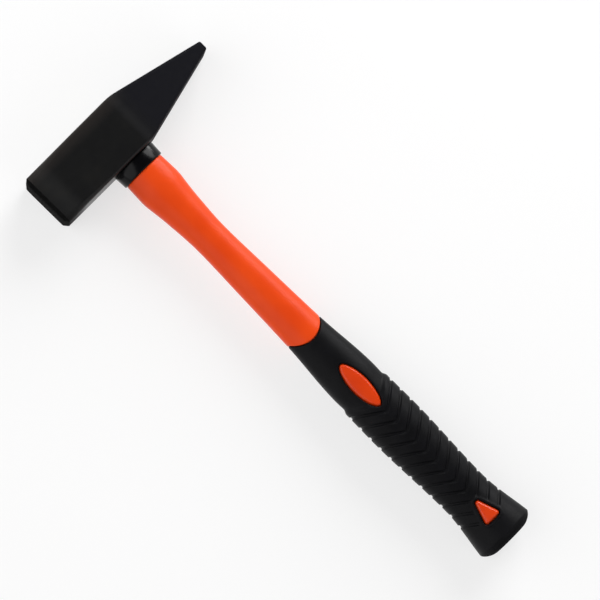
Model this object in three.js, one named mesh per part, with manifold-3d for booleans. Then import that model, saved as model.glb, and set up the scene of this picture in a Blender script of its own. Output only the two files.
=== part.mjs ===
// Cross-peen machinist's hammer: forged head on a fibreglass rod, with an orange jacket and a black grip.
// It lies on one cheek of its head. The origin is on that cheek, under the crossing of head and handle.
// +X runs to the peen, +Y from the handle to the top of the head, +Z up. All sizes are in millimetres.
// "Down" is a distance from the middle of the head along the handle, so that y = -down.
import * as THREE from "three";
import { mergeVertices } from "three/addons/utils/BufferGeometryUtils.js";
import Module from "manifold-3d";

const wasm = await Module();
wasm.setup();

const OVERALL_LENGTH = 362.75; // top of the head to the butt

// Fits
const NESTING_GAP = 0.3; // between curved pieces that sit inside each other
const PAD_GAP = 0.7; // between a pad and the edge of its window

// Head
const HEAD_LENGTH = 136.3;
const FACE_TO_EYE = 58; // striking face to handle axis
const HEAD_HEIGHT = 37.1;
const HEAD_THICKNESS = 36;
const HEAD_HANG = 0.6; // degrees by which the face end hangs towards the butt
const FACE_CHAMFER = 2.7;
const FACE_FLAT = 18; // side of the flat square in the middle of the crowned face
const FACE_CROWN = 0.4;
const FACE_CORNER = 3; // corner cut of the face's outline
const LONG_EDGE_BEVEL = 1.3;
const CORNER_FADE = 40; // length over which the corner cut narrows to the long edge's bevel
const PEEN_START = 15.3; // handle axis to where the wedge begins
const PEEN_BLEND = 10; // length of the curve from the body into the wedge
const PEEN_EDGE = 6.2; // thickness of the peen's edge
const PEEN_EDGE_BEVEL = 0.5;

// Eye through the head
const EYE_MOUTH_WIDTH = 27;
const EYE_MOUTH_DEPTH = 18;
const EYE_WAIST_WIDTH = 25.5;
const EYE_WAIST_DEPTH = 16.5;
const EYE_TOP_WIDTH = 30;
const EYE_TOP_DEPTH = 20;
const RESIN_RECESS = 1.3; // below the top of the head
const RESIN_LIFT = 0.7; // above the underside of the head

// Fibreglass rod
const ROD_WIDTH = 16;
const ROD_DEPTH = 12;
const ROD_RECESS = 0.6;
const ROD_END_WALL = 5; // jacket below the rod's lower end

// Collar under the head
const COLLAR_HEIGHT = 9.15;
const COLLAR_TOP_WIDTH = 31.3;
const COLLAR_TOP_DEPTH = 26;
const COLLAR_LOW_WIDTH = 30.5;
const COLLAR_LOW_DEPTH = 25.4;
const COLLAR_EDGE = 0.7;
const SPIGOT_WIDTH = 22; // jacket inside the collar
const SPIGOT_DEPTH = 17.4;

// Jacket, from its top edge to the seam with the grip
const JACKET_TOP_WIDTH = 28.3;
const JACKET_TOP_DEPTH = 22.6;
const JACKET_EDGE = 0.9;
const SHOULDER_DROP = 15.3;
const SHOULDER_WIDTH = 29.5;
const SHOULDER_DEPTH = 23.2;
const THROAT_DROP = 18.1;
const THROAT_WIDTH = 25.2;
const THROAT_DEPTH = 20.4;
const NECK_DROP = 25.5;
const NECK_WIDTH = 22.2;
const NECK_DEPTH = 18.4;
const MIDDLE_DROP = 36.5;
const MIDDLE_WIDTH = 24.1;
const MIDDLE_DEPTH = 19.4;
const SEAM_DROP = 42.7;
const SEAM_WIDTH = 26.9;
const SEAM_DEPTH = 21.4;
const SEAM_SAG = 7.2; // how far the seam's arc hangs down in the middle

// Grip, from the seam to the butt; from the step down, widths are over the ribs
const GRIP_WALL = 3;
const BELLY_DROP = 44.5;
const BELLY_WIDTH = 32.7;
const BELLY_DEPTH = 26.6;
const FOOT_DROP = 6.6;
const FOOT_WIDTH = 32.3;
const FOOT_DEPTH = 26.8;
const STEP_HEIGHT = 1.2;
const STEP_RUN = 3.4;
const PALM_DROP = 28;
const PALM_WIDTH = 35.3;
const PALM_DEPTH = 30;
const WAIST_DROP = 59.5;
const WAIST_WIDTH = 31.7;
const WAIST_DEPTH = 27.4;
const FLARE_WIDTH = 40;
const FLARE_DEPTH = 35.2;
const BUTT_ROUND_HEIGHT = 5.3;
const BUTT_ROUND_INSET = 7.4;
const BUTT_WALL = 12; // grip below the jacket's lower end

// Chevron ribs, parted by grooves whose points look at the butt
const GROOVE_PITCH = 8.5;
const GROOVE_WIDTH = 2.8;
const GROOVE_FLOOR = 1.2;
const GROOVE_DEPTH = 0.9;
const FIRST_GROOVE_DROP = 6.4; // below the foot of the step
const LAST_GROOVE_RISE = 21.4; // above the flare
const CHEVRON_DROP = 12; // how much lower a groove is in the middle than at the sides

// Pads of the jacket that fill the grip's windows
const PAD_PROUD = 0.3;
const OVAL_LENGTH = 34;
const OVAL_WIDTH = 11;
const OVAL_TIP_TO_FOOT = 13.2; // the oval's lower tip below the foot of the step, measured at the sides
const TRIANGLE_HEIGHT = 14.7;
const TRIANGLE_BASE = 10.9;
const TRIANGLE_CORNER = 1.5;
const TRIANGLE_TO_FLARE = 11.5;
const WINDOW_FRAME = 1.8; // smooth border between a window and the grooves
const FRAME_PROUD = 0.2;

// Shape of the cross-sections, and how finely they are drawn
const SECTION_POWER = 2.3; // 2 is an ellipse, more is squarer
const OVAL_PAD_POWER = 1.85; // under 2, so that its ends are pointed
const BUTT_POWER = 1.5; // 1 is a straight chamfer, 2 is round
const AROUND = 36;
const INNER_AROUND = 28;
const RING_STEP = 8;
const INNER_RING_STEP = 14;
const CURVE_STEPS = 4;
const PAST = 1; // how far a cutting solid runs past what it cuts
const OVERLAP = 3; // how far joined solids run into each other

// Stations down the handle
const hang = THREE.MathUtils.degToRad(HEAD_HANG);
const eyeToTip = HEAD_LENGTH - FACE_TO_EYE;
const underside = HEAD_HEIGHT / 2;
const jacketTop = underside + COLLAR_HEIGHT;
const shoulder = jacketTop + SHOULDER_DROP;
const throat = shoulder + THROAT_DROP;
const neck = throat + NECK_DROP;
const middle = neck + MIDDLE_DROP;
const seam = middle + SEAM_DROP;
const belly = seam + BELLY_DROP;
const foot = belly + FOOT_DROP;
const palm = foot + PALM_DROP;
const waist = palm + WAIST_DROP;
const butt = OVERALL_LENGTH - underside;
const flare = butt - BUTT_ROUND_HEIGHT;
const jacketEnd = butt - BUTT_WALL;
const rodEnd = jacketEnd - ROD_END_WALL;
const firstGroove = foot + FIRST_GROOVE_DROP;
const lastGroove = flare - LAST_GROOVE_RISE;

// Smooth curve through [at, value] points that never swings past them
function curveThrough(points) {
  const secant = (i) => (points[i + 1][1] - points[i][1]) / (points[i + 1][0] - points[i][0]);
  const slopes = points.map((point, i) => {
    if (i === 0) return secant(0);
    if (i === points.length - 1) return secant(i - 1);
    const [before, after] = [secant(i - 1), secant(i)];
    return before * after <= 0 ? 0 : 2 / (1 / before + 1 / after);
  });
  return (at) => {
    const next = points.findIndex((point) => point[0] >= at);
    const i = next < 0 ? points.length - 2 : Math.max(next - 1, 0);
    const [[start, low], [end, high]] = [points[i], points[i + 1]];
    const run = end - start;
    const t = THREE.MathUtils.clamp((at - start) / run, 0, 1);
    const bend = slopes[i] * run * t * (1 - t) ** 2 + slopes[i + 1] * run * t ** 2 * (t - 1);
    return low + (high - low) * t ** 2 * (3 - 2 * t) + bend;
  };
}

// A size of the handle at any distance down, with a corner at the shoulder
function handleSize(top, atShoulder, below) {
  const taper = curveThrough([[jacketTop, top], [shoulder, atShoulder]]);
  const rest = curveThrough([[shoulder, atShoulder], ...below]);
  return (down) => (down < shoulder ? taper(down) : rest(down));
}

// Outline of the handle without the step's height, which the ribbed stretch adds again
const handleWidth = handleSize(JACKET_TOP_WIDTH, SHOULDER_WIDTH, [
  [throat, THROAT_WIDTH],
  [neck, NECK_WIDTH],
  [middle, MIDDLE_WIDTH],
  [seam, SEAM_WIDTH],
  [belly, BELLY_WIDTH],
  [foot, FOOT_WIDTH],
  [palm, PALM_WIDTH - 2 * STEP_HEIGHT],
  [waist, WAIST_WIDTH - 2 * STEP_HEIGHT],
  [flare, FLARE_WIDTH - 2 * STEP_HEIGHT],
]);
const handleDepth = handleSize(JACKET_TOP_DEPTH, SHOULDER_DEPTH, [
  [throat, THROAT_DEPTH],
  [neck, NECK_DEPTH],
  [middle, MIDDLE_DEPTH],
  [seam, SEAM_DEPTH],
  [belly, BELLY_DEPTH],
  [foot, FOOT_DEPTH],
  [palm, PALM_DEPTH - 2 * STEP_HEIGHT],
  [waist, WAIST_DEPTH - 2 * STEP_HEIGHT],
  [flare, FLARE_DEPTH - 2 * STEP_HEIGHT],
]);

// Manifold solid of a closed geometry
function solidOf(geometry) {
  const bare = geometry.clone();
  bare.deleteAttribute("normal");
  bare.deleteAttribute("uv");
  const merged = mergeVertices(bare, 1e-4);
  return new wasm.Manifold(
    new wasm.Mesh({
      numProp: 3,
      vertProperties: new Float32Array(merged.attributes.position.array),
      triVerts: new Uint32Array(merged.index.array),
    }),
  );
}

// Closed surface through a row of rings, each a list of [x, y, z] points in step with the others
function loft(rings) {
  const count = rings[0].length;
  const mean = (ring, axis) => ring.reduce((sum, point) => sum + point[axis], 0) / count;
  const centre = (ring) => ring[0].map((_, axis) => mean(ring, axis));
  const last = rings.length - 1;
  const positions = [...rings.flat(), centre(rings[0]), centre(rings[last])].flat();
  const [startCentre, endCentre] = [rings.length * count, rings.length * count + 1];
  const triangles = [];
  for (let k = 0; k < count; k += 1) {
    const next = (k + 1) % count;
    triangles.push(startCentre, next, k);
    triangles.push(endCentre, last * count + k, last * count + next);
    for (let r = 0; r < last; r += 1) {
      const [a, b, c, d] = [r * count + k, r * count + next, (r + 1) * count + k, (r + 1) * count + next];
      triangles.push(a, b, c, c, b, d);
    }
  }
  const geometry = new THREE.BufferGeometry();
  geometry.setAttribute("position", new THREE.Float32BufferAttribute(positions, 3));
  geometry.setIndex(triangles);
  return geometry;
}

const loftSolid = (rings) => solidOf(loft(rings));

// Solid of a flat outline in the XY plane, extruded through the whole depth of the handle
function throughDepth(shape) {
  const depth = FLARE_DEPTH + HEAD_THICKNESS;
  const geometry = new THREE.ExtrudeGeometry(shape, { depth, bevelEnabled: false, curveSegments: 12 });
  return solidOf(geometry.translate(0, 0, -depth / 2));
}

// Where a point of a rounded oval lies, from -1 to 1 in each direction
const signedPower = (value, power) => Math.sign(value) * Math.abs(value) ** power;
function ovalPoints(count, power) {
  return Array.from({ length: count }, (unused, k) => {
    const angle = (2 * Math.PI * k) / count;
    return [signedPower(Math.cos(angle), 2 / power), signedPower(Math.sin(angle), 2 / power)];
  });
}

// Ring square to the handle
function ovalRing(down, width, depth, count = INNER_AROUND) {
  return ovalPoints(count, SECTION_POWER).map(([u, v]) => [(u * width) / 2, -down, (v * depth) / 2]);
}

// Distances from one station to the next in equal steps, without the last
function stepsBetween(from, to, step) {
  const count = Math.max(1, Math.round((to - from) / step));
  return Array.from({ length: count }, (unused, k) => from + ((to - from) * k) / count);
}

// How far the ring that starts at this station is drawn into a chevron
const chevronShare = curveThrough([[belly, 0], [foot, 1], [lastGroove + GROOVE_WIDTH, 1], [flare, 0]]);
const ribbedHeight = curveThrough([[foot, 0], [foot + STEP_RUN, STEP_HEIGHT]]);

// Ring of the handle's outside: lowered in its middle into a chevron, raised below the step, cut by a groove
function outsideRing(down, grow) {
  const proud = down > foot ? ribbedHeight(down) : 0;
  return ovalPoints(AROUND, SECTION_POWER).map(([u, v]) => {
    const lower = down + CHEVRON_DROP * chevronShare(down) * (1 - Math.abs(u));
    const halfWidth = handleWidth(lower) / 2 + proud + grow;
    const halfDepth = handleDepth(lower) / 2 + proud + grow;
    return [u * halfWidth, -lower, v * halfDepth];
  });
}

// Rings of one groove: down its wall, along its floor and up again
function grooveRings(middleOfGroove) {
  return [
    [-GROOVE_WIDTH / 2, 0],
    [-GROOVE_FLOOR / 2, -GROOVE_DEPTH],
    [GROOVE_FLOOR / 2, -GROOVE_DEPTH],
    [GROOVE_WIDTH / 2, 0],
  ].map(([along, cut]) => [middleOfGroove + along, cut]);
}

const grooves = [];
for (let at = lastGroove; at >= firstGroove; at -= GROOVE_PITCH) grooves.unshift(at);

// Outside of the grip as one solid, with or without its grooves, and grown all over by some height
function gripForm(grooved, grow) {
  const smooth = [
    ...stepsBetween(seam - PAST, belly, RING_STEP),
    ...stepsBetween(belly, foot, RING_STEP / 2),
    foot,
    foot + STEP_RUN / 2,
    foot + STEP_RUN,
  ].map((down) => [down, 0]);
  const ribbed = grooved
    ? grooves.flatMap(grooveRings)
    : stepsBetween(firstGroove, lastGroove + GROOVE_WIDTH, RING_STEP).map((down) => [down, 0]);
  const flaring = stepsBetween(lastGroove + GROOVE_WIDTH, flare, RING_STEP / 2).map((down) => [down, 0]);
  const rings = [...smooth, ...ribbed, ...flaring].map(([down, cut]) => outsideRing(down, grow + cut));
  for (let k = 0; k <= CURVE_STEPS; k += 1) {
    const angle = (Math.PI / 2) * (k / CURVE_STEPS);
    const inset = BUTT_ROUND_INSET * (1 - Math.cos(angle) ** (2 / BUTT_POWER)) - grow;
    const lower = flare + BUTT_ROUND_HEIGHT * Math.sin(angle) ** (2 / BUTT_POWER);
    rings.push(ovalRing(lower, FLARE_WIDTH - 2 * inset, FLARE_DEPTH - 2 * inset, AROUND));
  }
  return loftSolid(rings);
}

// Straight rod of oval section between two stations
function ovalRod(from, to, width, depth) {
  return loftSolid([ovalRing(from, width, depth), ovalRing(to, width, depth)]);
}

// Inside of the grip: the handle's outline less the grip's wall, grown by a gap for the grip's own bore
function underGrip(from, to, grow) {
  const inset = 2 * (GRIP_WALL - grow);
  const downs = [...stepsBetween(from, to, INNER_RING_STEP), to];
  return loftSolid(downs.map((down) => ovalRing(down, handleWidth(down) - inset, handleDepth(down) - inset)));
}

// Everything above the seam, whose lower edge is an arc that hangs down in the middle
function aboveSeam(gap) {
  const half = SEAM_WIDTH / 2;
  const radius = (half ** 2 + SEAM_SAG ** 2) / (2 * SEAM_SAG);
  const sweep = Math.asin(half / radius);
  const centre = -(seam + SEAM_SAG) + radius - gap;
  const wide = FLARE_WIDTH;
  const shape = new THREE.Shape();
  shape.moveTo(-wide, 0);
  shape.lineTo(-wide, -seam - gap);
  shape.absarc(0, centre, radius, -Math.PI / 2 - sweep, -Math.PI / 2 + sweep, false);
  shape.lineTo(wide, -seam - gap);
  shape.lineTo(wide, 0);
  return throughDepth(shape);
}

// Outlines of the windows in the grip; a positive margin widens them
function ovalOutline(margin) {
  const centre = -(foot + OVAL_TIP_TO_FOOT - OVAL_LENGTH / 2);
  const points = ovalPoints(AROUND, OVAL_PAD_POWER).map(
    ([u, v]) => new THREE.Vector2(u * (OVAL_WIDTH / 2 + margin), centre + v * (OVAL_LENGTH / 2 + margin)),
  );
  return new THREE.Shape(points);
}

function triangleOutline(margin) {
  const base = -(flare - TRIANGLE_TO_FLARE) + TRIANGLE_CORNER;
  const apex = base + TRIANGLE_HEIGHT - 2 * TRIANGLE_CORNER;
  const half = TRIANGLE_BASE / 2 - TRIANGLE_CORNER;
  const slope = Math.atan2(half, apex - base);
  const radius = TRIANGLE_CORNER + margin;
  const shape = new THREE.Shape();
  shape.absarc(-half, base, radius, Math.PI - slope, 1.5 * Math.PI, false);
  shape.absarc(half, base, radius, 1.5 * Math.PI, 2 * Math.PI + slope, false);
  shape.absarc(0, apex, radius, slope, Math.PI - slope, false);
  return shape;
}

function windowsGrownBy(margin) {
  return throughDepth(ovalOutline(margin)).add(throughDepth(triangleOutline(margin)));
}

// Ring of the head square to its length: a rectangle with its corners cut at 45 degrees
function headRing(x, height, thickness, bevel) {
  const [y, z] = [height / 2, thickness / 2];
  return [
    [y, z - bevel],
    [y - bevel, z],
    [bevel - y, z],
    [-y, z - bevel],
    [-y, bevel - z],
    [bevel - y, -z],
    [y - bevel, -z],
    [y, bevel - z],
  ].map(([ringY, ringZ]) => [x, ringY, ringZ]);
}

function makeHead() {
  const wedgeHeight = (x) => THREE.MathUtils.mapLinear(x, PEEN_START, eyeToTip, HEAD_HEIGHT, PEEN_EDGE);
  // The blend is a parabola from the level body into the slope, touching both
  const blendHeight = (share) => {
    const fall = HEAD_HEIGHT - wedgeHeight(PEEN_START + PEEN_BLEND / 2);
    return HEAD_HEIGHT - fall * share ** 2;
  };
  const [faceHeight, faceThickness] = [HEAD_HEIGHT - 2 * FACE_CHAMFER, HEAD_THICKNESS - 2 * FACE_CHAMFER];
  const chamferEnd = -FACE_TO_EYE + FACE_CHAMFER;
  const rings = [
    headRing(-FACE_TO_EYE, FACE_FLAT, FACE_FLAT, FACE_CORNER),
    headRing(-FACE_TO_EYE + FACE_CROWN, faceHeight, faceThickness, FACE_CORNER / 2),
    headRing(chamferEnd, HEAD_HEIGHT, HEAD_THICKNESS, FACE_CORNER),
    headRing(chamferEnd + CORNER_FADE, HEAD_HEIGHT, HEAD_THICKNESS, LONG_EDGE_BEVEL),
  ];
  for (let k = 0; k <= CURVE_STEPS; k += 1) {
    const x = PEEN_START + PEEN_BLEND * (k / CURVE_STEPS - 0.5);
    rings.push(headRing(x, blendHeight(k / CURVE_STEPS), HEAD_THICKNESS, LONG_EDGE_BEVEL));
  }
  const edgeStart = eyeToTip - PEEN_EDGE_BEVEL;
  rings.push(headRing(edgeStart, wedgeHeight(edgeStart), HEAD_THICKNESS, LONG_EDGE_BEVEL));
  const edgeHeight = PEEN_EDGE - 2 * PEEN_EDGE_BEVEL;
  rings.push(headRing(eyeToTip, edgeHeight, HEAD_THICKNESS - 2 * PEEN_EDGE_BEVEL, LONG_EDGE_BEVEL / 2));
  return solidOf(loft(rings).rotateZ(hang)).subtract(eye(0, PAST));
}

// The eye, narrowest in the middle of the head; a positive clearance draws its wall in
function eye(clearance, past) {
  const ring = (down, width, depth) => ovalRing(down, width - 2 * clearance, depth - 2 * clearance);
  return loftSolid([
    ring(-underside - past, EYE_TOP_WIDTH, EYE_TOP_DEPTH),
    ring(-underside / 2, (EYE_TOP_WIDTH + EYE_WAIST_WIDTH) / 2, (EYE_TOP_DEPTH + EYE_WAIST_DEPTH) / 2),
    ring(0, EYE_WAIST_WIDTH, EYE_WAIST_DEPTH),
    ring(underside + past, EYE_MOUTH_WIDTH, EYE_MOUTH_DEPTH),
  ]);
}

function makeRod() {
  return ovalRod(-underside + ROD_RECESS, rodEnd, ROD_WIDTH, ROD_DEPTH);
}

function rodBore(from, to) {
  return ovalRod(from, to, ROD_WIDTH + 2 * NESTING_GAP, ROD_DEPTH + 2 * NESTING_GAP);
}

function makeResin() {
  const trim = (from, to) => ovalRod(from, to, 2 * EYE_TOP_WIDTH, 2 * EYE_TOP_DEPTH);
  const above = trim(-underside - 2 * PAST, -underside + RESIN_RECESS);
  const below = trim(underside - RESIN_LIFT, underside + 2 * PAST);
  const filling = eye(NESTING_GAP, 0).subtract(above).subtract(below);
  return filling.subtract(rodBore(-underside - PAST, underside + PAST));
}

function makeCollar() {
  // Its top lies flat against the underside of the head, which slants with the head's hang
  const undersideAt = (x) => underside / Math.cos(hang) - x * Math.tan(hang);
  const level = ovalRing(0, COLLAR_TOP_WIDTH, COLLAR_TOP_DEPTH, AROUND);
  const top = level.map(([x, , z]) => [x, -undersideAt(x), z]);
  const outside = loftSolid([
    top,
    ovalRing(jacketTop - COLLAR_EDGE, COLLAR_LOW_WIDTH, COLLAR_LOW_DEPTH, AROUND),
    ovalRing(jacketTop, COLLAR_LOW_WIDTH - 2 * COLLAR_EDGE, COLLAR_LOW_DEPTH - 2 * COLLAR_EDGE, AROUND),
  ]);
  const [boreWidth, boreDepth] = [SPIGOT_WIDTH + 2 * NESTING_GAP, SPIGOT_DEPTH + 2 * NESTING_GAP];
  return outside.subtract(ovalRod(underside - PAST, jacketTop + PAST, boreWidth, boreDepth));
}

function makeJacket() {
  const downs = [
    ...stepsBetween(jacketTop + JACKET_EDGE, shoulder, RING_STEP),
    ...stepsBetween(shoulder, throat, RING_STEP / 2),
    ...stepsBetween(throat, seam - PAST, RING_STEP),
    ...stepsBetween(seam - PAST, belly, RING_STEP),
  ];
  const [edgeWidth, edgeDepth] = [JACKET_TOP_WIDTH - 2 * JACKET_EDGE, JACKET_TOP_DEPTH - 2 * JACKET_EDGE];
  const topEdge = ovalRing(jacketTop, edgeWidth, edgeDepth, AROUND);
  const body = loftSolid([topEdge, ...downs.map((down) => outsideRing(down, 0))]).intersect(aboveSeam(0));
  const spigot = ovalRod(underside + NESTING_GAP, jacketTop + OVERLAP, SPIGOT_WIDTH, SPIGOT_DEPTH);
  const pads = gripForm(false, PAD_PROUD).intersect(windowsGrownBy(0));
  return body
    .add(spigot)
    .add(underGrip(seam - OVERLAP, jacketEnd, 0))
    .add(pads)
    .subtract(rodBore(underside - PAST, rodEnd + NESTING_GAP));
}

function makeGrip() {
  const framed = throughDepth(triangleOutline(PAD_GAP + WINDOW_FRAME));
  const frames = gripForm(false, FRAME_PROUD).intersect(framed);
  return gripForm(true, 0)
    .add(frames)
    .subtract(underGrip(seam - OVERLAP, jacketEnd + NESTING_GAP, NESTING_GAP))
    .subtract(aboveSeam(NESTING_GAP))
    .subtract(windowsGrownBy(PAD_GAP));
}

function meshOf(name, solid, color, roughness, metalness) {
  const { numProp, vertProperties, triVerts } = solid.getMesh();
  const geometry = new THREE.BufferGeometry();
  const positions = new Float32Array((vertProperties.length / numProp) * 3);
  for (let i = 0; i * numProp < vertProperties.length; i += 1) {
    positions.set(vertProperties.subarray(i * numProp, i * numProp + 3), i * 3);
  }
  geometry.setAttribute("position", new THREE.BufferAttribute(positions, 3));
  geometry.setIndex([...triVerts]);
  geometry.computeVertexNormals();
  const mesh = new THREE.Mesh(geometry, new THREE.MeshStandardMaterial({ color, roughness, metalness }));
  mesh.name = name;
  return mesh;
}

const hammer = new THREE.Group();
hammer.position.z = HEAD_THICKNESS / 2;
hammer.add(
  meshOf("head", makeHead(), 0x1d1d1f, 0.5, 0.6),
  meshOf("eye_resin", makeResin(), 0x2c2418, 0.25, 0),
  meshOf("handle_core", makeRod(), 0xc9bb8a, 0.45, 0),
  meshOf("neck_collar", makeCollar(), 0x0f0f11, 0.4, 0),
  meshOf("handle_jacket", makeJacket(), 0xe4521f, 0.38, 0),
  meshOf("rubber_grip", makeGrip(), 0x17171a, 0.62, 0),
);

export default hammer;
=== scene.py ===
import math

import bmesh
import bpy
import numpy as np
from mathutils import Matrix


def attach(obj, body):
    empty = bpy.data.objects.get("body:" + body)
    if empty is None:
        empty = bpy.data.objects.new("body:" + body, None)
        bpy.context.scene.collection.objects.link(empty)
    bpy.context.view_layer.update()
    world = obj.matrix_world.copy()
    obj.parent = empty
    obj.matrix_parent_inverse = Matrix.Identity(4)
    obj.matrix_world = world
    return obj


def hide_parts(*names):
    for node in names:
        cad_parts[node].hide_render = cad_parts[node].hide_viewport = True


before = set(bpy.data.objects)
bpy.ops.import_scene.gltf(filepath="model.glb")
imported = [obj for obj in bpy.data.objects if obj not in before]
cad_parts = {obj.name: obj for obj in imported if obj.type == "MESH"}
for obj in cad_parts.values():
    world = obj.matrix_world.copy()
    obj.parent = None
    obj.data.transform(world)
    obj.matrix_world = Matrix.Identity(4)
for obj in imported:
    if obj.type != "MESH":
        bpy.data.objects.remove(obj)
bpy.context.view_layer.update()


# Rod: the backbone of the handle, glass fibres drawn through a die in clear resin and sawn to length.
# It stands in the eye of the head and runs down inside the jacket almost to the butt.
# Only its sawn end shows, a little below the top of the head.
HEAD_HEIGHT = 37.1
HEAD_THICKNESS = 36
AXIS_HEIGHT = HEAD_THICKNESS / 2
SQUARENESS = 2.3  # 2 makes an oval, and more makes it squarer
ROD_WIDTH = 16
ROD_DEPTH = 12
ROD_SUNK = 0.6
ROD_TOP = ROD_SUNK - HEAD_HEIGHT / 2
ROD_END = 327.2
SAWN_EDGE = 0.3
STRANDS_PER_METRE = 1900


def oval_section(angles, squareness=SQUARENESS):
    """Points of a squarish oval, from -1 to 1 across and through, one for each angle"""
    across, through = np.cos(angles), np.sin(angles)
    return np.column_stack([
        np.sign(across) * np.abs(across) ** (2 / squareness),
        np.sign(through) * np.abs(through) ** (2 / squareness),
    ])


def even_angles(count):
    """Angles spaced evenly round a circle"""
    return np.linspace(0, 2 * math.pi, count, endpoint=False)


def oval_ring(section, down, width, depth):
    """Ring of the handle at some distance down, which may differ from point to point"""
    return np.column_stack([
        section[:, 0] * width / 2,
        np.zeros(len(section)) - down,
        section[:, 1] * depth / 2,
    ])


def bridge(bm, near, far):
    """Joins two loops of vertices with a band of faces, which stays open where a vertex is missing"""
    for k in range(len(near)):
        corners = (near[k - 1], near[k], far[k], far[k - 1])
        if None not in corners:
            bm.faces.new(corners)


def skin(bm, rings, wanted=None):
    """Skins a row of rings and returns their loops of vertices; wanted picks the points to use"""
    loops = []
    for ring in rings:
        used = np.ones(len(ring), bool) if wanted is None else wanted(ring)
        loops.append([bm.verts.new(point) if use else None for point, use in zip(ring, used)])
    for near, far in zip(loops, loops[1:]):
        bridge(bm, near, far)
    return loops


def piece_of(name, bm, finish, crease=35):
    """Turns a closed mesh drawn in millimetres into a smooth piece in its place, in metres"""
    bmesh.ops.recalc_face_normals(bm, faces=bm.faces)
    bm.transform(Matrix.Scale(0.001, 4) @ Matrix.Translation((0, 0, AXIS_HEIGHT)))
    mesh = bpy.data.meshes.new(name)
    bm.to_mesh(mesh)
    bm.free()
    mesh.shade_smooth()
    mesh.set_sharp_from_angle(angle=math.radians(crease))
    mesh.materials.append(finish)
    piece = bpy.data.objects.new(name, mesh)
    bpy.context.scene.collection.objects.link(piece)
    return piece


def paint(red, green, blue):
    """A colour as it shows on a screen, from 0 to 255, in the linear light of a material"""
    shown = np.array([red, green, blue]) / 255
    return (*np.where(shown > 0.04, ((shown + 0.055) / 1.055) ** 2.4, shown / 12.92), 1)


def add_node(tree, kind, inputs, **settings):
    """Adds a node; each input is a plain value, an output, or a node whose first output feeds it"""
    node = tree.nodes.new("ShaderNode" + kind)
    for setting, value in settings.items():
        setattr(node, setting, value)
    for socket, value in inputs.items():
        if isinstance(value, bpy.types.Node):
            value = value.outputs[0]
        if isinstance(value, bpy.types.NodeSocket):
            tree.links.new(value, node.inputs[socket])
        else:
            node.inputs[socket].default_value = value
    return node


def shades(tree, factor, *stops):
    """Colour that changes with a factor, through (position, colour) stops"""
    ramp = add_node(tree, "ValToRGB", {"Fac": factor})
    elements = ramp.color_ramp.elements
    elements[0].position, elements[0].color = stops[0]
    elements[1].position, elements[1].color = stops[-1]
    for position, shade in stops[1:-1]:
        elements.new(position).color = shade
    return ramp


def place_on_piece(tree):
    """Place of a point in the piece's own metres"""
    return add_node(tree, "TexCoord", {}).outputs["Object"]


def grain(tree, size, detail=3, stretch=(1, 1, 1)):
    """Cloudy grain of about this size in millimetres, fixed to the piece"""
    stretched = add_node(tree, "Mapping", {"Vector": place_on_piece(tree), "Scale": stretch})
    return add_node(tree, "TexNoise", {"Vector": stretched, "Scale": 1000 / size, "Detail": detail})


def between(tree, factor, low, high):
    """Number that follows a factor from low to high"""
    return add_node(tree, "MapRange", {"Value": factor, "To Min": low, "To Max": high})


def dented(tree, height, deep, under=None):
    """Surface normal for dents this deep in millimetres, on top of coarser ones"""
    inputs = {"Height": height, "Distance": deep / 1000}
    if under:
        inputs["Normal"] = under
    return add_node(tree, "Bump", inputs)


def new_finish(name):
    """Empty material with its node tree and its surface shader"""
    finish = bpy.data.materials.new(name)
    finish.use_nodes = True
    return finish, finish.node_tree, finish.node_tree.nodes["Principled BSDF"]


def dress(tree, surface, inputs):
    """Sets the surface shader's own values and links"""
    for socket, value in inputs.items():
        if isinstance(value, bpy.types.Node):
            tree.links.new(value.outputs[0], surface.inputs[socket])
        else:
            surface.inputs[socket].default_value = value


glass_fibre, tree, surface = new_finish("Sawn glass fibre")
strands = add_node(tree, "TexVoronoi", {"Vector": place_on_piece(tree), "Scale": STRANDS_PER_METRE})
dress(tree, surface, {
    "Base Color": shades(tree, strands, (0.1, paint(222, 208, 160)), (0.45, paint(190, 170, 118)),
                         (0.8, paint(120, 98, 60))),
    "Roughness": between(tree, grain(tree, 0.8), 0.42, 0.62),
    "Normal": dented(tree, strands, 0.12),
})

rod_section = oval_section(even_angles(96))
rod_mesh = bmesh.new()
rod_loops = skin(rod_mesh, [
    oval_ring(rod_section, ROD_TOP, ROD_WIDTH - 2 * SAWN_EDGE, ROD_DEPTH - 2 * SAWN_EDGE),
    oval_ring(rod_section, ROD_TOP + SAWN_EDGE, ROD_WIDTH, ROD_DEPTH),
    oval_ring(rod_section, ROD_END, ROD_WIDTH, ROD_DEPTH),
])
rod_mesh.faces.new(rod_loops[0])
rod_mesh.faces.new(rod_loops[-1])
rod = piece_of("Fibreglass_Rod", rod_mesh, glass_fibre)
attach(rod, "root")
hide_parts("handle_core")


# Jacket: orange plastic injected round the rod in a two-part mould, with a faint line where the halves met.
# A spigot goes up into the collar. Below the seam it thins to a core, over which the grip is moulded.
COLLAR_GAP = 0.3
SPIGOT_TOP = HEAD_HEIGHT / 2 + COLLAR_GAP
SPIGOT_WIDTH = 22
SPIGOT_DEPTH = 17.4
ROD_GAP = 0.3
JACKET_TOP = 27.7
TOP_EDGE = 0.9
SHOULDER = 43
SHOULDER_SOFTNESS = 3.5
SEAM = 165.8
SEAM_WIDTH = 26.9
SEAM_SAG = 7.2
SEAM_RISE = 26  # stretch above the seam over which the mesh bends into its arc
SEAM_RIM = 1
BELLY = 210.3
FOOT = 216.9
FLARE = 338.9
BUTT = 344.2
GRIP_WALL = 3
BUTT_RUBBER = 12  # thickness of solid rubber past the jacket's end
JACKET_END = BUTT - BUTT_RUBBER
MOULD_LINE = 0.05
COLUMNS = 176  # points round the handle's mesh

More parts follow.
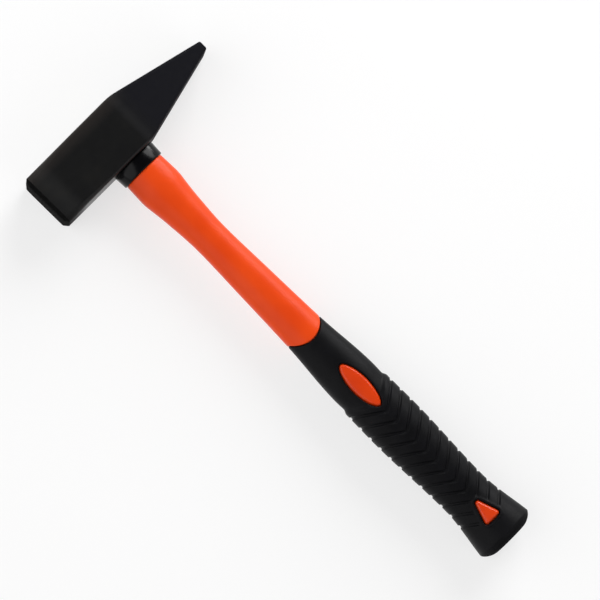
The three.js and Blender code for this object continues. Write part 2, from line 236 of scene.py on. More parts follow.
# Down, width and depth of the handle's outline, without the height that the step adds to the ribbed stretch
above_shoulder = [(JACKET_TOP, 28.3, 22.6), (SHOULDER, 29.5, 23.2)]
below_shoulder = [
    (SHOULDER, 29.5, 23.2),
    (61.1, 25.2, 20.4),
    (86.6, 22.2, 18.4),
    (123.1, 24.1, 19.4),
    (SEAM, SEAM_WIDTH, 21.4),
    (BELLY, 32.7, 26.6),
    (FOOT, 32.3, 26.8),
    (244.9, 32.9, 27.6),
    (304.4, 29.3, 25),
    (FLARE, 37.6, 32.8),
]


def curve_through(points):
    """Smooth curve through (at, value) points that never swings past them"""
    at, value = np.array(points, float).T
    secants = np.diff(value) / np.diff(at)
    slopes = np.concatenate([secants[:1], np.zeros(len(at) - 2), secants[-1:]])
    for i, (before, after) in enumerate(zip(secants, secants[1:]), 1):
        slopes[i] = 2 / (1 / before + 1 / after) if before * after > 0 else 0

    def curve(where):
        i = np.clip(np.searchsorted(at, where) - 1, 0, len(at) - 2)
        run = at[i + 1] - at[i]
        t = np.clip((where - at[i]) / run, 0, 1)
        bend = slopes[i] * run * t * (1 - t) ** 2 + slopes[i + 1] * run * t**2 * (t - 1)
        return value[i] + (value[i + 1] - value[i]) * t**2 * (3 - 2 * t) + bend

    return curve


def outline_of(column):
    """Width or depth of the handle at any distance down, softened at the shoulder"""
    taper = curve_through([(row[0], row[column]) for row in above_shoulder])
    rest = curve_through([(row[0], row[column]) for row in below_shoulder])

    def size(down):
        down = np.asarray(down, float)
        reach = np.clip(SHOULDER_SOFTNESS - np.abs(down - SHOULDER), 0, None)
        near = [down + share * reach for share in (-1, -0.5, 0, 0.5, 1)]
        return np.mean([np.where(place < SHOULDER, taper(place), rest(place)) for place in near], axis=0)

    return size


handle_width, handle_depth = outline_of(1), outline_of(2)
seam_radius = ((SEAM_WIDTH / 2) ** 2 + SEAM_SAG**2) / (2 * SEAM_SAG)
seam_share = curve_through([(SEAM - SEAM_RISE, 0), (SEAM, 1), (BELLY, 0)])

# Round the section, with narrow columns beside the mould line
beside_line = np.array([-0.0212, -0.0062, 0.0062, 0.0212])
angles = np.sort(np.concatenate([even_angles(COLUMNS), beside_line, math.pi + beside_line]))
section = oval_section(angles)
on_mould_line = np.abs(np.sin(angles)) < 0.01


def handle_ring(row, grow=0, drop=0, line=MOULD_LINE):
    """Ring of the handle's outside, lowered into the seam's arc near the seam and by a drop of its own"""
    lower = row + drop
    for _ in range(4):  # each round settles the width on which the arc's depth depends
        across = section[:, 0] * handle_width(lower) / 2
        sag = np.sqrt(np.clip(seam_radius**2 - across**2, 0, None)) - (seam_radius - SEAM_SAG)
        lower = row + drop + seam_share(row) * np.clip(sag, 0, None)
    raised = 2 * (grow + line * on_mould_line)
    return oval_ring(section, lower, handle_width(lower) + raised, handle_depth(lower) + raised)


def rounded_rows(row, radius, end=1, steps=5):
    """(row, grow) pairs down over a piece's rounded edge, at its lower end or, with -1, at its upper one"""
    turns = np.linspace(0, math.pi / 2, steps + 1)[::end]
    return [(row - end * radius * (1 - math.sin(turn)), -radius * (1 - math.cos(turn))) for turn in turns]


jacket_orange, tree, surface = new_finish("Orange jacket plastic")
cloud = grain(tree, 18, detail=2)
speck = grain(tree, 0.35, detail=2)
dress(tree, surface, {
    "Base Color": shades(tree, cloud, (0.3, paint(222, 66, 14)), (0.7, paint(229, 72, 18))),
    "Roughness": between(tree, grain(tree, 2.5), 0.29, 0.39),
    "Specular IOR Level": 0.15,
    "Normal": dented(tree, speck, 0.006, dented(tree, grain(tree, 6, detail=1), 0.03)),
})

# From the end of the bore up through it, over the spigot and down the outside to the end of the core
jacket_mesh = bmesh.new()
bore_end = oval_ring(section, ROD_END + ROD_GAP, ROD_WIDTH + 2 * ROD_GAP, ROD_DEPTH + 2 * ROD_GAP)
bore_top = oval_ring(section, SPIGOT_TOP, ROD_WIDTH + 2 * ROD_GAP, ROD_DEPTH + 2 * ROD_GAP)
spigot = [oval_ring(section, down, SPIGOT_WIDTH, SPIGOT_DEPTH) for down in (SPIGOT_TOP, JACKET_TOP)]
top_edge = [handle_ring(row, grow) for row, grow in rounded_rows(JACKET_TOP, TOP_EDGE, end=-1)]
outside = [handle_ring(row) for row in np.arange(JACKET_TOP + TOP_EDGE + 1, SEAM - SEAM_RIM - 0.5, 1.3)]
seam_rim = [handle_ring(row, grow) for row, grow in rounded_rows(SEAM, SEAM_RIM)]
core = [handle_ring(row, -GRIP_WALL, line=0) for row in np.linspace(SEAM, JACKET_END, 70)]
jacket_loops = skin(jacket_mesh, [bore_end, bore_top, *spigot, *top_edge, *outside, *seam_rim, *core])
jacket_mesh.faces.new(jacket_loops[0])
jacket_mesh.faces.new(jacket_loops[-1])
jacket = piece_of("Orange_Jacket", jacket_mesh, jacket_orange)
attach(jacket, "root")
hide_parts("handle_jacket")


# Pads: parts of the jacket that stand up through windows in the grip, an oval and a triangle on each side.
# The mould is polished there, so they shine more than the rest of the jacket, most on their bevelled rims.
PAD_PROUD = 0.3
PAD_ROOT = -3.4  # they run into the jacket's core
OVAL_LENGTH = 34
OVAL_WIDTH = 11
OVAL_FOOT = FOOT + 13.2
OVAL_MIDDLE = OVAL_FOOT - OVAL_LENGTH / 2
OVAL_SQUARENESS = 1.85
TRIANGLE_BASE = 10.9
TRIANGLE_HEIGHT = 14.7
TRIANGLE_CORNER = 1.5
TRIANGLE_FOOT = FLARE - 11.5
CORNER_POINTS = 9
SIDE_PARTS = 14
STEP_HEIGHT = 1.2
STEP_RUN = 3.4
CHEVRON_DROP = 12
CHEVRON_POINT = 0.05  # rounds the chevrons' points, as a share of the half width
LAST_GROOVE = FLARE - 21.4
GROOVE_WIDTH = 2.8
CHEVRON_END = LAST_GROOVE + GROOVE_WIDTH

# Inset and drop of the points over a pad's bevelled rim
pad_rim = [(0, 1.15), (0.02, 1.05), (0.1, 0.92), (0.95, 0.1), (1.07, 0.03), (1.25, 0)]
chevron_share = curve_through([(BELLY, 0), (FOOT, 1), (CHEVRON_END, 1), (FLARE, 0)])


def chevron_drop(row, across):
    """How far a row is drawn down into a chevron, at a share of the half width from the middle"""
    return CHEVRON_DROP * chevron_share(row) * (1 - np.sqrt(across**2 + CHEVRON_POINT**2))


def smooth_share(value, start, end):
    """Share that grows from 0 at the start to 1 at the end, gently at both"""
    share = np.clip((value - start) / (end - start), 0, 1)
    return share**2 * (3 - 2 * share)


def step_height(row):
    """Height of the ribbed stretch over the smooth panel above it, rounded at both edges of the step"""
    return STEP_HEIGHT * smooth_share(row, FOOT, FOOT + STEP_RUN)


def row_at(down, across):
    """Row of the grip that passes through a place, found by halving"""
    low, high = down - CHEVRON_DROP, np.array(down, float)
    for _ in range(30):
        middle = (low + high) / 2
        short = middle + chevron_drop(middle, across) < down
        low, high = np.where(short, middle, low), np.where(short, high, middle)
    return middle


def height_over(flat, lift):
    """Height of the handle's outside, lifted by some depth, over flat (x, y) points"""
    down = -flat[:, 1]
    across = np.clip(np.abs(flat[:, 0]) / (handle_width(down) / 2 + lift), 0, 1)
    return (handle_depth(down) / 2 + lift) * (1 - across**SQUARENESS) ** (1 / SQUARENESS)


def on_handle(flat, side, lift):
    """Points over flat (x, y) points on one side of the handle, lifted off it and off its step"""
    down = -flat[:, 1]
    across = np.clip(np.abs(flat[:, 0]) / (handle_width(down) / 2), 0, 1)
    return np.column_stack([flat, side * height_over(flat, lift + step_height(row_at(down, across)))])


def oval_outline(margin):
    """Outline of the oval pad, or of its window with a margin"""
    around = oval_section(even_angles(96), OVAL_SQUARENESS)
    return around * [OVAL_WIDTH / 2 + margin, OVAL_LENGTH / 2 + margin] - [0, OVAL_MIDDLE]


def triangle_outline(margin):
    """Outline of the triangular pad, its three corners rounded, or of its window with a margin"""
    half = TRIANGLE_BASE / 2 - TRIANGLE_CORNER
    tall = TRIANGLE_HEIGHT - 2 * TRIANGLE_CORNER
    slope = math.atan2(half, tall)
    radius = TRIANGLE_CORNER + margin
    corners = [
        (-half, 0, math.pi - slope, 1.5 * math.pi),
        (half, 0, 1.5 * math.pi, 2 * math.pi + slope),
        (0, tall, slope, math.pi - slope),
    ]
    arcs = []
    for x, y, start, end in corners:
        turns = np.linspace(start, end, CORNER_POINTS)
        arcs.append(np.column_stack([x + radius * np.cos(turns), y + radius * np.sin(turns)]))
    points = []
    for arc, following in zip(arcs, [*arcs[1:], arcs[0]]):
        points += [*arc[:-1], *np.linspace(arc[-1], following[0], SIDE_PARTS, endpoint=False)]
    return np.array(points) - [0, TRIANGLE_FOOT - TRIANGLE_CORNER]


polished_orange, tree, surface = new_finish("Polished orange plastic")
dress(tree, surface, {
    "Base Color": shades(tree, grain(tree, 12, detail=2),
                         (0.3, paint(206, 54, 4)), (0.7, paint(215, 61, 5))),
    "Roughness": between(tree, grain(tree, 1.6), 0.26, 0.34),
    "Specular IOR Level": 0.35,
    "Normal": dented(tree, grain(tree, 3, detail=1), 0.03),
})


def raise_pad(name, outline, side):
    """One pad: wall, bevelled rim and gently crowned top, drawn in towards its middle"""
    pad_mesh = bmesh.new()
    rings = [on_handle(outline(0), side, PAD_ROOT)]
    rings += [on_handle(outline(-inset), side, PAD_PROUD - sunk) for inset, sunk in pad_rim]
    rim = outline(-pad_rim[-1][0])
    middle = rim.mean(axis=0)
    for share in (0.86, 0.7, 0.54, 0.38, 0.22, 0.1):
        rings.append(on_handle(middle + (rim - middle) * share, side, PAD_PROUD))
    loops = skin(pad_mesh, rings)
    pad_mesh.faces.new(loops[0])
    pad_mesh.faces.new(loops[-1])
    return piece_of(name, pad_mesh, polished_orange)


for name, outline in (("Oval_Pad", oval_outline), ("Triangle_Pad", triangle_outline)):
    for face, side in (("Front", 1), ("Back", -1)):
        pad = raise_pad(f"{name}_{face}", outline, side)
        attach(pad, "root")
        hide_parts("handle_jacket")


# Grip: black soft rubber moulded over the jacket's core, smooth at first and ribbed from the step down.
# Chevron grooves part the ribs, windows leave the pads free, and the butt flares to stop a slipping hand.
SEAM_GAP = 0.4
GRIP_LIP = 0.8
CORE_GAP = 0.3
BORE_INSET = GRIP_WALL - CORE_GAP
BORE_END = JACKET_END + CORE_GAP
GROOVE_PITCH = 8.5
GROOVE_FLOOR = 1
GROOVE_DEPTH = 0.9
FIRST_GROOVE = FOOT + 6.4
BUTT_WIDTH = 40
BUTT_DEPTH = 35.2
BUTT_INSET = 7.4
BUTT_SQUARENESS = 1.5
WINDOW_GAP = 0.7
WINDOW_EDGE = 0.9
WINDOW_BAND = 1.9  # smooth band round a pad, from which the clean mesh of its window goes inwards
CUT_MARGIN = 0.25  # the ribs' mesh is cut away this much further out, and the strip between is filled
STRIP_REACH = 3  # the cut edge of the ribs' mesh lies within this of the clean mesh
GROOVE_FADE = (2.4, 3.6)  # distances from a pad between which the grooves fade in
FRAME_PROUD = 0.2
SCUFF_START = 338  # from here down the butt is scuffed duller
SCUFF_FULL = 342
SCUFF_ROUGHNESS = 0.5

grooves = np.arange(LAST_GROOVE, FIRST_GROOVE, -GROOVE_PITCH)
outlines = [oval_outline(0), triangle_outline(0)]


def outside_of(flat, outline):
    """How far flat points lie outside a closed outline; negative inside it"""
    start, end = outline, np.roll(outline, -1, axis=0)
    edge, from_start = end - start, flat[:, None] - start
    along = np.clip((from_start * edge).sum(2) / (edge**2).sum(1), 0, 1)
    gap = np.linalg.norm(from_start - along[..., None] * edge, axis=2).min(1)
    rise = np.where(edge[:, 1] == 0, 1e-9, edge[:, 1])
    crossing = edge[:, 0] * from_start[..., 1] / rise > from_start[..., 0]
    spans = (start[:, 1] > flat[:, None, 1]) != (end[:, 1] > flat[:, None, 1])
    inside = (crossing & spans).sum(1) % 2 == 1
    return np.where(inside, -gap, gap)


def groove_depth(row):
    """Depth of the grooves at a row, rounded at the floor and at the ribs' shoulders"""
    away = np.min(np.abs(row - grooves))
    return GROOVE_DEPTH * (1 - smooth_share(away, GROOVE_FLOOR / 2, GROOVE_WIDTH / 2))


def grip_ring(row):
    """Ring of the grip's outside with its step and grooves, which end in a smooth frame round a window"""
    drop = chevron_drop(row, section[:, 0])
    bare = handle_ring(row, drop=drop)
    apart = [outside_of(bare[:, :2], outline) for outline in outlines]
    clear = smooth_share(np.min(apart, axis=0), *GROOVE_FADE)
    framed = FRAME_PROUD * (1 - smooth_share(apart[1], WINDOW_BAND, GROOVE_FADE[0]))
    return handle_ring(row, step_height(row) - groove_depth(row) * clear + framed, drop)


def off_windows(ring):
    """Which points of a ring lie clear of the windows and of the bands round them"""
    apart = [outside_of(ring[:, :2], outline) for outline in outlines]
    return np.min(apart, axis=0) > WINDOW_BAND + CUT_MARGIN


def butt_ring(turn):
    """Ring of the rounded butt, from the flare at no turn to the flat end at a quarter turn"""
    inset = BUTT_INSET * (1 - math.cos(turn) ** (2 / BUTT_SQUARENESS))
    lower = FLARE + (BUTT - FLARE) * math.sin(turn) ** (2 / BUTT_SQUARENESS)
    return oval_ring(section, lower, BUTT_WIDTH - 2 * inset, BUTT_DEPTH - 2 * inset)


def window_mesh(bm, outline, side, frame_lift):
    """Rim and wall of one window, from its smooth band in to the grip's bore"""
    rings = [on_handle(outline(WINDOW_BAND), side, frame_lift)]
    for turn in np.linspace(0, math.pi / 2, 5):
        margin = WINDOW_GAP + WINDOW_EDGE * (1 - math.sin(turn))
        sunk = WINDOW_EDGE * (1 - math.cos(turn))
        rings.append(on_handle(outline(margin), side, frame_lift - sunk))
    foot = outline(WINDOW_GAP)
    rings.append(np.column_stack([foot, side * height_over(foot, -BORE_INSET)]))
    return skin(bm, rings)


def fill_to(bm, hole, loop, side):
    """Fills the strip between the stepped edge of a hole in the ribs' mesh and a clean loop inside it"""
    loop_edges = [bm.edges.get((loop[k - 1], loop[k])) for k in range(len(loop))]
    middle = np.mean([vert.co[:] for vert in loop], axis=0)
    reach = max(np.linalg.norm(np.array(vert.co) - middle) for vert in loop) + STRIP_REACH
    near = [edge for edge in hole if np.linalg.norm(np.array(edge.verts[0].co) - middle) < reach]
    bmesh.ops.triangle_fill(bm, use_beauty=True, use_dissolve=False, edges=near + loop_edges,
                            normal=(0, 0, side))


def ramp_between(tree, place, start, end):
    """Share that grows from 0 to 1 between two places in millimetres"""
    return add_node(tree, "MapRange", {"Value": place, "From Min": start / 1000, "From Max": end / 1000})


def rougher(tree, roughness, extra, share):
    """Roughness with a share of this much extra on top"""
    return add_node(tree, "Math", {0: share, 1: extra, 2: roughness}, operation="MULTIPLY_ADD")


grip_rubber, tree, surface = new_finish("Black grip rubber")
dust = grain(tree, 9, detail=4)
place = add_node(tree, "SeparateXYZ", {"Vector": place_on_piece(tree)})
at_butt = ramp_between(tree, place.outputs["Y"], -SCUFF_START, -SCUFF_FULL)
rubbed = between(tree, grain(tree, 3), 0.42, 0.54)
dress(tree, surface, {
    "Base Color": shades(tree, dust, (0.35, paint(7, 7, 9)), (0.75, paint(12, 12, 15))),
    "Roughness": rougher(tree, rubbed, SCUFF_ROUGHNESS, at_butt),
    "Specular IOR Level": 0.1,
    "Normal": dented(tree, grain(tree, 0.3, detail=2), 0.012,
                     dented(tree, grain(tree, 1.2, detail=2), 0.03)),
})

# Rows of the outside, closest together where the ribs are
rows = np.concatenate([
    np.arange(SEAM + SEAM_GAP + GRIP_LIP + 1, BELLY - 0.6, 1.5),
    np.arange(BELLY, FOOT, 0.55),
    np.arange(FOOT, CHEVRON_END, 0.34),
    np.arange(CHEVRON_END, FLARE, 0.8),
])
grip_mesh = bmesh.new()
lip = [handle_ring(row, grow) for row, grow in rounded_rows(SEAM + SEAM_GAP, GRIP_LIP, end=-1)]
sleeve = [grip_ring(row) for row in rows]
butt = [butt_ring(turn) for turn in np.linspace(0.02, math.pi / 2, 16)]
end_width = BUTT_WIDTH - 2 * BUTT_INSET
end_depth = BUTT_DEPTH - 2 * BUTT_INSET
butt_end = [oval_ring(section, BUTT, end_width * share, end_depth * share) for share in (0.8, 0.5, 0.2)]
outer = skin(grip_mesh, [*lip, *sleeve, *butt, *butt_end], off_windows)
outer_holes = {edge for edge in grip_mesh.edges if edge.is_boundary}
bore_rows = np.linspace(SEAM + SEAM_GAP, BORE_END, 120)
bore = skin(grip_mesh, [handle_ring(row, -BORE_INSET, line=0) for row in bore_rows], off_windows)
bore_holes = {edge for edge in grip_mesh.edges if edge.is_boundary} - outer_holes
bridge(grip_mesh, outer[0], bore[0])
grip_mesh.faces.new(outer[-1])
grip_mesh.faces.new(bore[-1])
for outline, frame_lift in ((oval_outline, 0), (triangle_outline, FRAME_PROUD)):
    for side in (1, -1):
        window = window_mesh(grip_mesh, outline, side, frame_lift)
        fill_to(grip_mesh, outer_holes, window[0], side)
        fill_to(grip_mesh, bore_holes, window[-1], side)
bmesh.ops.delete(grip_mesh, geom=[vert for vert in grip_mesh.verts if not vert.link_faces], context="VERTS")
grip = piece_of("Rubber_Grip", grip_mesh, grip_rubber, crease=50)
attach(grip, "root")
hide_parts("rubber_grip")


# Collar: a glossy black moulding pushed over the jacket's spigot, which covers the joint under the head.
# Its top is flat against the underside of the head, and it tapers a little towards the jacket.
UNDERSIDE = HEAD_HEIGHT / 2
HEAD_HANG = math.radians(0.6)  # the head is turned this much on the handle
COLLAR_TOP = (31.3, 26)
COLLAR_LOW = (30.5, 25.4)
COLLAR_EDGE = 0.7
COLLAR_BORE = (SPIGOT_WIDTH + 2 * COLLAR_GAP, SPIGOT_DEPTH + 2 * COLLAR_GAP)

# Drop and loss of width of the points over the collar's rounded top edge
collar_rim = [(0, 0.5), (0.1, 0.1), (0.3, 0)]

collar_black, tree, surface = new_finish("Glossy black plastic")
dress(tree, surface, {
    "Base Color": shades(tree, grain(tree, 8), (0.3, paint(4, 4, 6)), (0.7, paint(7, 7, 9))),
    "Roughness": between(tree, grain(tree, 2), 0.16, 0.23),
    "Specular IOR Level": 0.15,
    "Normal": dented(tree, grain(tree, 4, detail=1), 0.04),
})

collar_mesh = bmesh.new()
slant = UNDERSIDE / math.cos(HEAD_HANG) - section[:, 0] * COLLAR_TOP[0] / 2 * math.tan(HEAD_HANG)
collar_rings = [oval_ring(section, down, *COLLAR_BORE) for down in (JACKET_TOP, UNDERSIDE + COLLAR_GAP)]
for drop, loss in collar_rim:
    collar_rings.append(oval_ring(section, slant + drop, COLLAR_TOP[0] - loss, COLLAR_TOP[1] - loss))
for row, grow in rounded_rows(JACKET_TOP, COLLAR_EDGE):
    collar_rings.append(oval_ring(section, row, COLLAR_LOW[0] + 2 * grow, COLLAR_LOW[1] + 2 * grow))
collar_loops = skin(collar_mesh, collar_rings)
bridge(collar_mesh, collar_loops[-1], collar_loops[0])
collar = piece_of("Neck_Collar", collar_mesh, collar_black)
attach(collar, "root")
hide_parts("neck_collar")


# Head: one forging of tool steel with a square face at one end and a wedge, the peen, at the other.
# Thin black lacquer covers its forged skin. The face and its chamfers are ground and then blackened.
# The rod is set in its oval eye, which is wider at both ends than in the middle.
HEAD_LENGTH = 136.3
FACE_TO_EYE = 58
FACE_CHAMFER = 2.7
FACE_FLAT = 18  # middle of the face, from which its crown falls away
FACE_CROWN = 0.4
FACE_CORNER = 4.6
LONG_EDGE = 2
CORNER_FADE = 40  # stretch over which the face's round corners shrink to the long edges
PEEN_START = 15.3
PEEN_BLEND = 10
PEEN_EDGE = 6.2
PEEN_EDGE_BEVEL = 0.5
EYE_TOP = (30, 20)
EYE_WAIST = (25.5, 16.5)
EYE_MOUTH = (27, 18)
EYE_REACH = HEAD_HEIGHT / 2 + 1  # the eye's curve runs on past the head's top and underside
PUNCH_REACH = HEAD_HEIGHT / 2 + 1.75
GROUND_EDGE = 0.45  # radius left on the edges by grinding and lacquer
FACE_SIDE = -0.5  # what looks this far towards -X is ground: the face and its chamfers
LACQUER_SPAN = (-58, 78)  # stretch along the head over which the lacquer changes
TOP_LIGHT_FROM = 9  # from here up the lacquer is painted paler, a painted highlight along the head's top
TOP_LIGHT_FULL = 18.5
END_ROUGHNESS = 0.56  # added where the lacquer is dull, next to the face and on the wedge

eye_to_tip = HEAD_LENGTH - FACE_TO_EYE


def head_ring(x, height, thickness, radius):
    """Ring of the head square to its length: a rectangle with rounded corners"""
    ring = []
    for side_y, side_z, start in ((1, 1, 0), (-1, 1, 90), (-1, -1, 180), (1, -1, 270)):
        for turn in np.radians(start + np.linspace(0, 90, 7)):
            ring.append((x, side_y * (height / 2 - radius) + radius * math.cos(turn),
                         side_z * (thickness / 2 - radius) + radius * math.sin(turn)))
    return ring


def wedge_height(x):
    """Height of the wedge at a place along the head"""
    return HEAD_HEIGHT + (PEEN_EDGE - HEAD_HEIGHT) * (x - PEEN_START) / (eye_to_tip - PEEN_START)


def eye_rings(clearance, top, bottom):
    """Rings of the oval eye, narrowest in the middle of the head, between two distances down"""
    wide, deep = (
        curve_through([(-EYE_REACH, EYE_TOP[k]), (0, EYE_WAIST[k]), (EYE_REACH, EYE_MOUTH[k])])
        for k in (0, 1)
    )
    return [
        oval_ring(rod_section, down, wide(down) - 2 * clearance, deep(down) - 2 * clearance)
        for down in np.linspace(top, bottom, 13)
    ]


# From the crowned face over its chamfers and along the square body to the tip of the wedge
head_mesh = bmesh.new()
chamfer_end = FACE_CHAMFER - FACE_TO_EYE
head_rings = []
for share in (0, 0.35, 0.7, 1):
    height = FACE_FLAT + (HEAD_HEIGHT - 2 * FACE_CHAMFER - FACE_FLAT) * share
    thickness = FACE_FLAT + (HEAD_THICKNESS - 2 * FACE_CHAMFER - FACE_FLAT) * share
    x = FACE_CROWN * share**2 - FACE_TO_EYE
    head_rings.append(head_ring(x, height, thickness, FACE_CORNER * (1 - share / 2)))
head_rings.append(head_ring(chamfer_end, HEAD_HEIGHT, HEAD_THICKNESS, FACE_CORNER))
head_rings.append(head_ring(chamfer_end + CORNER_FADE, HEAD_HEIGHT, HEAD_THICKNESS, LONG_EDGE))
fall = HEAD_HEIGHT - wedge_height(PEEN_START + PEEN_BLEND / 2)
for share in np.linspace(0, 1, 9):
    x = PEEN_START + PEEN_BLEND * (share - 0.5)
    head_rings.append(head_ring(x, HEAD_HEIGHT - fall * share**2, HEAD_THICKNESS, LONG_EDGE))
edge_start = eye_to_tip - PEEN_EDGE_BEVEL
head_rings.append(head_ring(edge_start, wedge_height(edge_start), HEAD_THICKNESS, LONG_EDGE))
tip_height = PEEN_EDGE - 2 * PEEN_EDGE_BEVEL
tip_thickness = HEAD_THICKNESS - 2 * PEEN_EDGE_BEVEL
head_rings.append(head_ring(eye_to_tip, tip_height, tip_thickness, LONG_EDGE / 2))
head_loops = skin(head_mesh, head_rings)
head_mesh.faces.new(head_loops[0])
head_mesh.faces.new(head_loops[-1])
head_mesh.transform(Matrix.Rotation(HEAD_HANG, 4, "Z"))

lacquer, tree, surface = new_finish("Black lacquer on forged steel")
mottle = grain(tree, 14, detail=5)
pits = grain(tree, 0.9, detail=4)
place = add_node(tree, "SeparateXYZ", {"Vector": place_on_piece(tree)})
along = ramp_between(tree, place.outputs["X"], *LACQUER_SPAN)
black, white = (0, 0, 0, 1), (1, 1, 1, 1)
at_ends = shades(tree, along, (0.02, white), (0.13, black), (0.51, black), (0.57, white))
on_wedge = shades(tree, along, (0.5, black), (0.62, white))
# Painted highlight: the lacquer's colour turns paler and browner towards the head's top. It stands in for
# light caught along the upper edge.
painted_top_light = ramp_between(tree, place.outputs["Y"], TOP_LIGHT_FROM, TOP_LIGHT_FULL)
forged = shades(tree, mottle, (0.3, paint(14, 14, 15)), (0.6, paint(18, 18, 18)), (0.8, paint(23, 22, 21)))
body = add_node(tree, "MixRGB", {"Fac": painted_top_light, "Color1": forged, "Color2": paint(40, 36, 34)})
gloss = between(tree, grain(tree, 4, detail=4), 0.28, 0.4)
dress(tree, surface, {
    "Base Color": add_node(tree, "MixRGB", {"Fac": on_wedge, "Color1": body, "Color2": paint(13, 13, 19)}),
    "Roughness": rougher(tree, gloss, END_ROUGHNESS, at_ends),
    "Specular IOR Level": 0.19,
    "Normal": dented(tree, pits, 0.02, dented(tree, grain(tree, 5, detail=2), 0.05)),
})

ground_black, tree, surface = new_finish("Blackened ground steel")
dress(tree, surface, {
    "Base Color": shades(tree, grain(tree, 2.5), (0.35, paint(12, 12, 12)), (0.7, paint(18, 18, 18))),
    "Roughness": between(tree, grain(tree, 0.8, stretch=(1, 6, 1)), 0.88, 1),
    "Specular IOR Level": 0.03,
    "Normal": dented(tree, grain(tree, 0.5, stretch=(1, 8, 1)), 0.01),
})

eye_mesh = bmesh.new()
eye_loops = skin(eye_mesh, eye_rings(0, -PUNCH_REACH, PUNCH_REACH))
eye_mesh.faces.new(eye_loops[0])
eye_mesh.faces.new(eye_loops[-1])
eye_tool = piece_of("Eye_Punch", eye_mesh, lacquer)
head = piece_of("Forged_Head", head_mesh, lacquer)
punch = head.modifiers.new("Eye", "BOOLEAN")
punch.operation = "DIFFERENCE"
punch.solver = "EXACT"
punch.object = eye_tool
rounding = head.modifiers.new("Ground edges", "BEVEL")
rounding.width = GROUND_EDGE / 1000
rounding.segments = 3
rounding.limit_method = "ANGLE"
rounding.angle_limit = math.radians(18)
head.modifiers.new("Flat faces", "WEIGHTED_NORMAL")
finished = bpy.data.meshes.new_from_object(head.evaluated_get(bpy.context.evaluated_depsgraph_get()))
head.modifiers.clear()
head.data = finished
finished.materials.append(ground_black)
for face in finished.polygons:
    face.material_index = int(face.normal.x < FACE_SIDE)
bpy.data.objects.remove(eye_tool)
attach(head, "root")
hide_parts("head")


# Resin: dark epoxy poured round the rod in the eye, which is what holds the head on the handle.
# It shrinks a little as it sets, so its top lies below the head's and climbs at the steel and at the rod.
RESIN_SUNK = 1.3
RESIN_SHORT = 0.7  # of the head's underside
RESIN_TOP = RESIN_SUNK - HEAD_HEIGHT / 2
RESIN_FOOT = HEAD_HEIGHT / 2 - RESIN_SHORT
RESIN_GAP = 0.04
ROD_HOLE = (ROD_WIDTH + 2 * RESIN_GAP, ROD_DEPTH + 2 * RESIN_GAP)
RESIN_CREEP = 0.5

epoxy, tree, surface = new_finish("Dark cast epoxy")
dress(tree, surface, {
    "Base Color": shades(tree, grain(tree, 3), (0.3, paint(36, 29, 19)), (0.7, paint(52, 42, 27))),
    "Roughness": between(tree, grain(tree, 1.5), 0.14, 0.28),
    "Normal": dented(tree, grain(tree, 2.5), 0.1),
})

resin_mesh = bmesh.new()
wall = eye_rings(RESIN_GAP, RESIN_FOOT, RESIN_TOP)
brim = wall[-1]
rod_wall = oval_ring(rod_section, RESIN_TOP, *ROD_HOLE)
pool = []
for share in np.linspace(0, 1, 11):
    ring = brim + (rod_wall - brim) * share
    ring[:, 1] += RESIN_CREEP * (2 * share - 1) ** 4
    pool.append(ring)
rod_foot = oval_ring(rod_section, RESIN_FOOT, *ROD_HOLE)
resin_loops = skin(resin_mesh, [*wall[:-1], *pool, rod_foot])
bridge(resin_mesh, resin_loops[-1], resin_loops[0])
resin = piece_of("Eye_Resin", resin_mesh, epoxy)
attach(resin, "root")
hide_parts("eye_resin")


# Studio: a wide white floor and pale walls. A large soft lamp and a small low one stand on the peen's side,
# a wider lamp stands opposite, and a weak one lights the butt.
FLOOR_DROP = 0.2
FLOOR_HALF = 6000
FLOOR_GLOW = 0.66  # share of plain white in what the camera and reflections see of the floor
HAMMER_MIDDLE = (0.01, -0.15, 0.02)  # in metres, as the lamps' places are

floor_white, tree, surface = new_finish("White studio floor")
dress(tree, surface, {
    "Base Color": shades(tree, grain(tree, 400, detail=1),
                         (0.3, paint(247, 247, 247)), (0.7, paint(250, 250, 250))),
    "Roughness": 0.9,
    "Specular IOR Level": 0.1,
})
ray = add_node(tree, "LightPath", {})
seen = ray.outputs["Is Camera Ray"]
for kind in ("Is Glossy Ray", "Is Transmission Ray"):
    seen = add_node(tree, "Math", {0: seen, 1: ray.outputs[kind]}, operation="MAXIMUM")
glow = add_node(tree, "Math", {0: seen, 1: FLOOR_GLOW}, operation="MULTIPLY")
plain_white = add_node(tree, "Emission", {"Color": (1, 1, 1, 1), "Strength": 1})
lifted = add_node(tree, "MixShader", {0: glow, 1: surface.outputs[0], 2: plain_white})
tree.links.new(lifted.outputs[0], tree.nodes["Material Output"].inputs["Surface"])
floor_mesh = bmesh.new()
floor_mesh.faces.new([floor_mesh.verts.new((x * FLOOR_HALF, y * FLOOR_HALF, -AXIS_HEIGHT - FLOOR_DROP))
                      for x, y in ((-1, -1), (1, -1), (1, 1), (-1, 1))])
floor = piece_of("Studio_Floor", floor_mesh, floor_white)


def stand_at(thing, place, right, up, back):
    """Stands a lamp or the camera at a place in metres, with its back turned away from what it looks at"""
    thing.matrix_world = Matrix([*np.column_stack([right, up, back, place]).tolist(), (0, 0, 0, 1)])


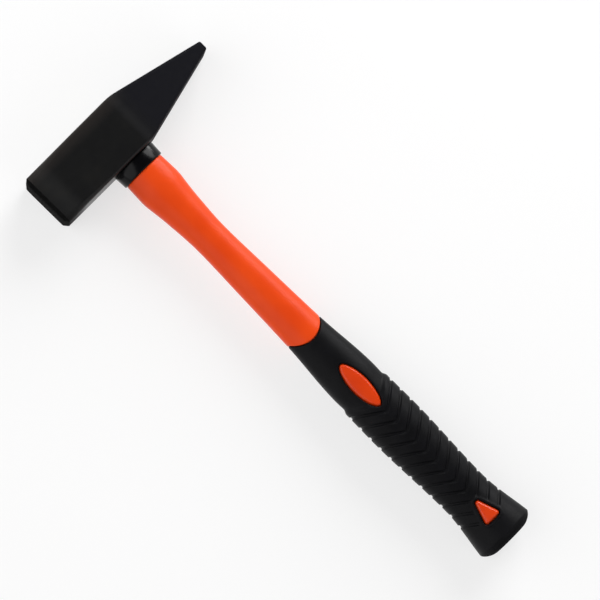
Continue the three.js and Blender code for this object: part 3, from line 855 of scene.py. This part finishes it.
def soft_lamp(name, place, aim, size, power):
    """Round soft lamp at a place in metres, turned to its aim"""
    lamp = bpy.data.lights.new(name, "AREA")
    lamp.shape = "DISK"
    lamp.size = size
    lamp.energy = power
    stand = bpy.data.objects.new(name, lamp)
    bpy.context.scene.collection.objects.link(stand)
    back = (np.array(place) - aim) / np.linalg.norm(np.array(place) - aim)
    right = np.cross((0, 1, 0), back)
    right /= np.linalg.norm(right)
    stand_at(stand, place, right, np.cross(back, right), back)


soft_lamp("Key lamp", (1.8, 0.5, 1.1), HAMMER_MIDDLE, 1.6, 41)
soft_lamp("Fill lamp", (-1.5, 0.9, 1.7), HAMMER_MIDDLE, 3.6, 45)
soft_lamp("Edge lamp", (1.9, 0.35, 0.28), HAMMER_MIDDLE, 0.5, 8)
soft_lamp("Foot lamp", (0.2, -1.9, 1.5), HAMMER_MIDDLE, 1.6, 7)

world = bpy.data.worlds.new("Pale walls, dim ceiling")
world.use_nodes = True
bpy.context.scene.world = world
tree = world.node_tree
direction = add_node(tree, "SeparateXYZ", {"Vector": add_node(tree, "TexCoord", {}).outputs["Generated"]})
walls = shades(tree, direction.outputs["Z"],
               (0.12, (1, 1, 1, 1)), (0.3, (0.5, 0.5, 0.5, 1)), (0.6, (0.1, 0.1, 0.1, 1)))
tree.links.new(walls.outputs[0], tree.nodes["Background"].inputs["Color"])


# Camera: looks down at the hammer from a little to the face's side, through a long lens.
# It is rolled, so that the handle runs across the picture from the upper left to the lower right.
CAMERA_TURN = math.radians(6.5)
CAMERA_ROLL = math.radians(45.15)
CAMERA_AIM = np.array((12.07, -150.74, 18)) / 1000
CAMERA_DISTANCE = 2.4  # in metres, as the aim is
CAMERA_LENS = 235.95

camera = bpy.data.objects.new("Camera", bpy.data.cameras.new("Camera"))
bpy.context.scene.collection.objects.link(camera)
back = np.array((-math.sin(CAMERA_TURN), 0, math.cos(CAMERA_TURN)))
handle_up = np.array((0.0, 1, 0))
handle_right = np.cross(handle_up, back)
up = handle_up * math.sin(CAMERA_ROLL) + handle_right * math.cos(CAMERA_ROLL)
right = handle_right * math.sin(CAMERA_ROLL) - handle_up * math.cos(CAMERA_ROLL)
stand_at(camera, CAMERA_AIM + CAMERA_DISTANCE * back, right, up, back)
camera.data.lens = CAMERA_LENS
camera.data.clip_end = 50
bpy.context.scene.camera = camera
bpy.context.scene.view_settings.view_transform = "Standard"
